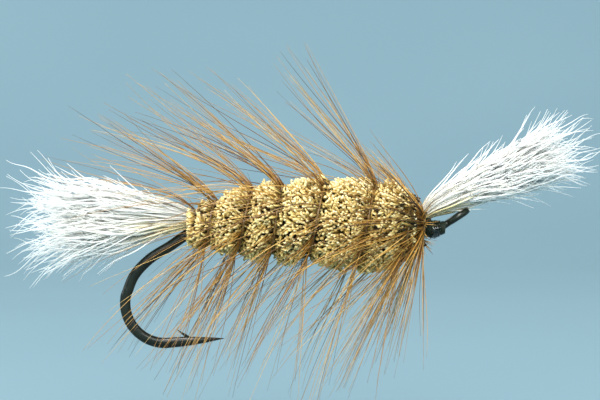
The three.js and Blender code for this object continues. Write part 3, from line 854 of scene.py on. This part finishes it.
def hackle_turn(index, material):
    rng = np.random.default_rng(240 + index)
    count = BARBS_PER_TURN[index]
    piece = Piece(count + TURN_FLUFF)
    start = index + 0.02
    end = index + 1 - (COLLAR_DROP / 2 if index == BODY_TURNS - 1 else 0.02)
    add_barbs(piece, rng, start, end, count, REAR_BARB if index == 0 else BODY_BARB)
    add_fluff(piece, rng, start, end, TURN_FLUFF, 0.3)
    piece.build(f"hackle_turn_{index + 1}", material, "hackle_barb", f"hackle_barbs_{index + 1}")


def hackle_collar(material):
    rng = np.random.default_rng(300)
    piece = Piece(COLLAR_BARBS + COLLAR_FLUFF + RUFF_BARBS)
    start, end = BODY_TURNS + COLLAR_DROP, len(TURN_TOPS) - 1.02
    add_barbs(piece, rng, start, end, COLLAR_BARBS, COLLAR_BARB)
    add_fluff(piece, rng, start, end, COLLAR_FLUFF, 0.25)
    add_ruff(piece, rng, end - RUFF_TURNS, end, RUFF_BARBS)
    piece.build("hackle_collar_turns", material, "hackle_barb", "hackle_collar")


def hackle_quill(material):
    turns = np.linspace(0, len(TURN_TOPS) - 1, QUILL_STEPS)
    centre, _ = quill_at(turns)
    from_end = np.minimum(np.arange(QUILL_STEPS), np.arange(QUILL_STEPS)[::-1])
    radii = quill_radius(turns) * np.clip(from_end / 6 + 0.3, 0, 1)
    piece = Piece(1)
    piece.add_tubes(centre[None], radii[None], 8, 0.5)
    piece.build("hackle_quill", material, "hackle_quill", "hackle_stem")


# ---- Tail and wing ----

# Spines are x and z in the plane of the hook; spreads are distance along the spine and half-height
TAIL_SPINE = [
    (-26.95, -0.35), (-28.4, -0.3), (-29.7, -0.15), (-34.7, 0.0), (-39.7, 0.1), (-44.7, 0.1), (-49.9, 0.1),
]
TAIL_SPREAD = [
    (0, 0.3), (1.4, 0.36), (2.4, 0.85), (3.7, 1.4), (6, 2.1), (9, 3.0), (13, 4.0), (18, 4.8), (23, 5.3),
]
WING_SPINE = [
    (-4.85, -0.3), (-4.2, -0.2), (-3.7, 0.05), (-3.2, 0.6), (-2.7, 1.0), (-1.87, 1.52), (2.0, 3.2),
    (8.6, 6.0), (15.5, 8.5),
]
WING_SPREAD = [
    (0, 0.3), (0.7, 0.33), (1.3, 0.45), (2.0, 0.75), (2.7, 1.0), (3.7, 1.3), (5.5, 1.6), (8, 1.85),
    (11, 2.15), (15, 2.7), (22, 3.6),
]
# How much of each bundle is stray hairs, how low its straw-rooted hairs reach (-1 is its underside),
# and how far its tips turn outward
TAIL_HABIT = {"strays": 0.14, "straw_below": 0.0, "outward": 1.3}
WING_HABIT = {"strays": 0.07, "straw_below": -0.6, "outward": 0.6}
CALF_HAIRS = 500
HAIR_STEPS = 42
HEART_HAIRS = 230
HEART_STEPS = 14
HEART_REACH = 0.72
LOCKS = 64
BUTT_LENGTH = 3.0
FAN_FLATNESS = 0.85
TIP_CURL_LENGTH = 6.5
TIP_CURL_MOST = 3.0


def hair_reach(rng, count, longest):
    """How far each hair goes along the whole bundle: few are full length."""
    pick = rng.random(count)
    short = rng.uniform(0.45, 0.72, count)
    middle = rng.uniform(0.7, 0.87, count)
    full = rng.uniform(0.86, 1.0, count)
    return longest * np.where(pick < 0.3, short, np.where(pick < 0.88, middle, full))


def hair_places(rng, count):
    """Each hair's lock, and its place across the bundle, upwards and to the far side, -1 to 1."""
    lock = rng.integers(0, LOCKS, count)
    off = np.sqrt(rng.random(LOCKS)) * 0.92
    angle = rng.uniform(0, TAU, LOCKS)
    loose = rng.normal(0, 0.15, (2, count))
    a = np.clip((off * np.cos(angle))[lock] + loose[0], -1.05, 1.05)
    b = np.clip((off * np.sin(angle))[lock] + loose[1], -1.05, 1.05)
    return lock, a, b


def fan_of_hair(piece, rng, count, spine, spread, habit, stations=HAIR_STEPS, longest=1.0):
    """Wavy hairs that run along a spine in the XZ plane and fan away from it in loose locks."""
    line = smooth_path([(x, 0, z) for x, z in spine], 12)
    travelled = np.concatenate([[0], np.cumsum(np.linalg.norm(np.diff(line, axis=0), axis=1))])
    reach = travelled[-1] * hair_reach(rng, count, longest)
    steps = np.linspace(0, 1, stations)
    distance = reach[:, None] * steps
    centre = np.stack([np.interp(distance, travelled, line[:, i]) for i in range(3)], -1)
    tangent = unit(np.gradient(line, axis=0))
    heading = np.stack([np.interp(distance, travelled, tangent[:, i]) for i in range(3)], -1)
    far = np.array([0.0, 1.0, 0.0])
    up = np.cross(heading, far)
    up = up * np.sign(up[..., 2:3])
    lock, a, b = hair_places(rng, count)
    half = np.interp(distance, [d for d, _ in spread], [h for _, h in spread])
    free = np.clip((distance - BUTT_LENGTH) / (travelled[-1] - BUTT_LENGTH), 0, 1)
    wave = hair_waves(rng, lock, distance, free)
    outward = habit["outward"] * np.stack([a, b], -1)
    curl = tip_curl(rng, lock, outward, reach, distance, habit["strays"])
    paths = centre + up * (a[:, None] * half + wave[0] + curl[0])[..., None]
    paths = paths + far * ((b[:, None] * half + wave[1] + curl[1]) * FAN_FLATNESS)[..., None]
    thick = rng.uniform(0.075, 0.105, count)
    radii = thick[:, None] * (0.8 + 0.2 * smoothstep(steps, 0.1, 0.3)) * (1 - 0.8 * steps ** 5)
    tint = rng.beta(4, 1.2, count)
    tint[a + 0.25 * rng.normal(0, 1, count) < habit["straw_below"]] *= 0.15
    piece.add_tubes(paths, radii, 4, tint, along=steps * longest)


def hair_waves(rng, lock, distance, free):
    """Long S-shaped waves, shared by the hairs of a lock, small at the root and larger outwards."""
    count = len(lock)
    size = (0.02 + 0.66 * free ** 0.8) * rng.uniform(0.4, 1.25, (count, 1))
    waves = []
    for _ in range(2):
        length = rng.uniform(7, 11.5, (LOCKS, 1))[lock] * rng.uniform(0.9, 1.1, (count, 1))
        phase = rng.uniform(0, TAU, (LOCKS, 1))[lock] + rng.normal(0, 0.9, (count, 1))
        second = rng.uniform(0, TAU, (count, 1))
        long_wave = np.sin(TAU * distance / length + phase)
        waves.append(size * (long_wave + 0.16 * np.sin(TAU * distance / 3.7 + second)))
    return waves


def tip_curl(rng, lock, outward, reach, distance, strays):
    """The outer end of each hair turns away, mostly outwards, and a few hairs turn much further."""
    count = len(lock)
    amount = rng.normal(0, 1.0, (LOCKS, 2))[lock] + rng.normal(0, 0.75, (count, 2)) + outward
    wild = rng.random(count) < strays
    amount[wild] = amount[wild] * 1.5 + rng.normal(0, 1.6, (wild.sum(), 2))
    amount = np.clip(amount, -TIP_CURL_MOST, TIP_CURL_MOST)
    length = TIP_CURL_LENGTH * rng.uniform(0.7, 1.4, (count, 1))
    share = np.clip((distance - reach[:, None] + length) / length, 0, 1)
    return amount[:, :1] * share ** 2, amount[:, 1:] * share ** 2


def calf_hair(name, node, seed, spine, spread, habit, material):
    """One bundle: the long hairs, and the short ones that pack its inside."""
    piece = Piece(CALF_HAIRS + HEART_HAIRS)
    inside = {**habit, "strays": 0.0, "outward": 0.0}
    fan_of_hair(piece, np.random.default_rng(seed), CALF_HAIRS, spine, spread, habit)
    fan_of_hair(piece, np.random.default_rng(seed + 1), HEART_HAIRS, spine, spread, inside,
                stations=HEART_STEPS, longest=HEART_REACH)
    piece.build(name, material, "calf_hair", node)


# ---- Tying thread ----

def head_z(x):
    return SHANK_Z + HEAD_RISE * smoothstep(x, -2.6, -1.3)


def thread_wraps(piece, rng, xs, high, wide, z, wraps, layers=1):
    """Thread wound round an oval form, each layer the other way at a slight slant."""
    for layer in range(layers):
        turns = np.linspace(0, wraps, int(wraps * WRAP_STEPS))
        share = turns / wraps if layer % 2 == 0 else 1 - turns / wraps
        x = xs[0] + (xs[-1] - xs[0]) * share
        lift = THREAD_RADIUS * (0.7 + 1.25 * layer) + 0.03 * np.sin(turns * 1.7 + rng.uniform(0, TAU))
        angle = TAU * turns + rng.uniform(0, TAU)
        slant = 0.05 * np.sin(angle + rng.uniform(0, TAU))
        height = np.interp(x, xs, high) + lift
        width = np.interp(x, xs, wide) + lift
        centre = np.interp(x, xs, z)
        path = np.stack([x + slant, -width * np.sin(angle), centre + height * np.cos(angle)], -1)
        radii = np.full(len(turns), THREAD_RADIUS)
        radii[[0, -1]] *= 0.4
        piece.add_tubes(path[None], radii[None], 6, rng.random())


def add_sleeve(piece, xs, high, wide, z, bore_high, bore_wide, bore_z):
    """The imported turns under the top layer, open for the wire."""
    angles = TAU * np.arange(SLEEVE_SIDES) / SLEEVE_SIDES
    outer = [oval_ring(x, h, w, c, angles) for x, h, w, c in zip(xs, high, wide, z)]
    inner = [oval_ring(x, bore_high, bore_wide, bore_z, angles) for x in xs[::-1]]
    piece.add_rings(np.array(outer + inner)[None], 0.5, closed=True)


def binding(name, node, seed, span, high, wide, z, bore, material):
    """A hidden winding on the shank."""
    inner_high = [high - 1.6 * THREAD_RADIUS] * 2
    inner_wide = [wide - 1.6 * THREAD_RADIUS] * 2
    piece = Piece(3)
    add_sleeve(piece, span, inner_high, inner_wide, [z] * 2, *bore, z)
    wraps = (span[1] - span[0]) / (2.05 * THREAD_RADIUS)
    thread_wraps(piece, np.random.default_rng(seed), span, inner_high, inner_wide, [z] * 2, wraps)
    piece.build(name, material, "tying_thread", node)


def hidden_bindings(material):
    base = (0.7, 0.7, SHANK_Z, (THREAD_BORE, THREAD_BORE), material)
    waist = (0.93, 0.93, SHANK_Z, (THREAD_BORE, THREAD_BORE), material)
    binding("base_wraps_rear", "thread_base_rear", 600, (-28.1, -26.75), *base)
    binding("base_wraps_front", "thread_base_front", 601, (-4.85, -3.5), *base)
    binding("tail_wraps", "tail_binding", 602, (-27.85, -27.1), 1.26, 0.94, -0.98, (1.1, 0.8), material)
    for index in range(1, BUNDLE_COUNT):
        rear, front = bundle_span(index)
        span = (rear + 0.36 * (front - rear), rear + 0.64 * (front - rear))
        binding(f"bundle_wraps_{index + 1}", f"bundle_binding_{index + 1}", 610 + index, span, *waist)


def head_wraps(material):
    """Thread wound over the head, the wing's foot and the closing knot."""
    xs, high, wide = HEAD_PROFILE.T
    head = Piece(4)
    thread_wraps(head, np.random.default_rng(700), xs, high - 0.03, wide - 0.03, head_z(xs), 9, layers=2)
    head.build("head_wraps", material, "tying_thread")
    foot = Piece(3)
    add_sleeve(foot, FOOT_X, FOOT_HIGH, FOOT_WIDE, FOOT_Z, FOOT_BORE, FOOT_BORE, SHANK_Z)
    thread_wraps(foot, np.random.default_rng(701), FOOT_X, FOOT_HIGH, FOOT_WIDE, FOOT_Z, 5, layers=2)
    foot.build("wing_wraps", material, "tying_thread", "wing_binding")
    knot = Piece(2)
    knot_z = head_z(KNOT_X)
    thread_wraps(knot, np.random.default_rng(702), KNOT_X, KNOT_HIGH, KNOT_WIDE, knot_z, 4, layers=2)
    knot.build("whip_wraps", material, "tying_thread")


def cement_coat(material):
    """Clear coat that fills between the thread turns and smooths over them."""
    rear, front = CEMENT_SPAN
    middle = (rear + front) / 2
    xs = np.linspace(rear, front, 9)
    angles = TAU * np.arange(CEMENT_SIDES) / CEMENT_SIDES
    high = np.interp(xs, HEAD_PROFILE[:, 0], HEAD_PROFILE[:, 1]) + CEMENT_REACH
    wide = np.interp(xs, HEAD_PROFILE[:, 0], HEAD_PROFILE[:, 2]) + CEMENT_REACH
    outer, inner = [], []
    for x, h, w in zip(xs, high, wide):
        swell = 0.02 * np.sin(3 * angles + 4 * x)
        ends = 0.07 * (abs(x - middle) / (front - middle)) ** 4
        for rings, lift in ((outer, 0.0), (inner, -CEMENT_THICKNESS)):
            rings.append(oval_ring(x, h + lift + swell - ends, w + lift + swell - ends, head_z(x), angles))
    piece = Piece(1)
    piece.add_rings(np.array(outer + inner[::-1])[None], 0.5, closed=True)
    piece.build("cement_coat", material, "head_coat", "head_cement")


# ---- Stage ----

CAMERA_AIM = (-17.27, 0.0, 1.87)
VIEW_WIDTH = 66.0
LENS = 100.0
SENSOR = 36.0
FLOOR_DROP = 0.0045
BOWL_FLAT = 0.5
BOWL_RADIUS = 1.3
BOWL_HEIGHT = 0.8
BOWL_SIDES = 64
LAMPS = [  # name, place, watts, size, tone
    ("key", (-0.27, -0.95, 1.25), 28.0, 0.5, (1.0, 0.985, 0.95)),
    ("front", (-0.1, -1.05, 0.45), 14.5, 0.8, (1.0, 0.985, 0.96)),
    ("fill", (0.75, -0.9, 0.4), 6.0, 0.7, (1, 1, 1)),
    ("rim", (-0.15, 0.9, 1.1), 8.0, 0.65, (1, 1, 1)),
    ("edge", (-1.0, -0.35, 0.4), 6.0, 0.3, (1, 1, 1)),
]
ROOM_COLOUR = (0.92, 0.93, 0.93, 1)
ROOM_STRENGTH = 0.42


def backdrop_look():
    look = Look("backdrop", Specular_IOR_Level=0.1, Roughness=0.9)
    soft = look.noise(3, detail=2)
    look.colour(look.ramp(soft, [(0.3, (0.165, 0.265, 0.315)), (0.7, (0.18, 0.285, 0.335))]))
    return look.material


def floor_and_backdrop(floor_z):
    """A plain pale floor that curves up all round, the same in every view."""
    radii = [0.001, 0.1, 0.25, BOWL_FLAT]
    heights = [0.0] * 4
    for share in np.linspace(0.08, 1, 14):
        radii.append(BOWL_FLAT + (BOWL_RADIUS - BOWL_FLAT) * math.sin(share * math.pi / 2))
        heights.append(BOWL_HEIGHT * (1 - math.cos(share * math.pi / 2)))
    centre = CAMERA_AIM[0] * MM
    points, faces = [], []
    for r, h in zip(radii, heights):
        for angle in TAU * np.arange(BOWL_SIDES) / BOWL_SIDES:
            points.append((centre + r * math.cos(angle), r * math.sin(angle), floor_z + h))
    for start in range(0, BOWL_SIDES * (len(radii) - 1), BOWL_SIDES):
        for k in range(BOWL_SIDES):
            here, there = start + k, start + (k + 1) % BOWL_SIDES
            faces.append((here, here + BOWL_SIDES, there + BOWL_SIDES, there))
    faces.append(tuple(range(BOWL_SIDES)))
    mesh = bpy.data.meshes.new("floor")
    mesh.from_pydata(points, [], faces)
    mesh.shade_smooth()
    mesh.materials.append(backdrop_look())
    floor = bpy.data.objects.new("floor", mesh)
    bpy.context.scene.collection.objects.link(floor)


def soft_light(name, place, power, size, tone):
    data = bpy.data.lights.new(name, "AREA")
    data.shape = "DISK"
    data.size = size
    data.energy = power
    data.color = tone
    lamp = bpy.data.objects.new(name, data)
    lamp.location = place
    lamp.visible_camera = False
    aim = np.array([CAMERA_AIM[0] * MM, 0, 0]) - place
    lamp.rotation_euler = Vector(aim).to_track_quat("-Z", "Y").to_euler()
    bpy.context.scene.collection.objects.link(lamp)


def lights():
    for lamp in LAMPS:
        soft_light(*lamp)
    world = bpy.data.worlds.new("room")
    world.use_nodes = True
    background = world.node_tree.nodes["Background"]
    background.inputs["Color"].default_value = ROOM_COLOUR
    background.inputs["Strength"].default_value = ROOM_STRENGTH
    bpy.context.scene.world = world


def camera():
    data = bpy.data.cameras.new("camera")
    data.lens = LENS
    data.sensor_width = SENSOR
    data.clip_start = 0.005
    data.clip_end = 10
    thing = bpy.data.objects.new("camera", data)
    distance = VIEW_WIDTH * LENS / SENSOR
    thing.location = (CAMERA_AIM[0] * MM, -distance * MM, CAMERA_AIM[2] * MM)
    thing.rotation_euler = (math.pi / 2, 0, 0)
    bpy.context.scene.collection.objects.link(thing)
    bpy.context.scene.camera = thing
    bpy.context.scene.view_settings.view_transform = "Standard"


# ---- Assembly ----

def build_fly():
    thread = thread_look()
    hook_piece(hook_look())
    deer = deer_hair_look()
    for index in range(BUNDLE_COUNT):
        hair_bundle(index, deer)
    barb = hackle_look()
    for index in range(BODY_TURNS):
        hackle_turn(index, barb)
    hackle_collar(barb)
    hackle_quill(quill_look())
    calf = calf_hair_look()
    calf_hair("calf_tail", "tail", 400, TAIL_SPINE, TAIL_SPREAD, TAIL_HABIT, calf)
    calf_hair("calf_wing", "wing", 500, WING_SPINE, WING_SPREAD, WING_HABIT, calf)
    hidden_bindings(thread)
    head_wraps(thread)
    cement_coat(cement_look())
    for name in ("head_thread", "whip_finish"):
        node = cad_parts[name]
        node.data.materials.clear()
        node.data.materials.append(thread)


build_fly()
camera()
lights()
floor_and_backdrop(cad_low[2] - FLOOR_DROP)
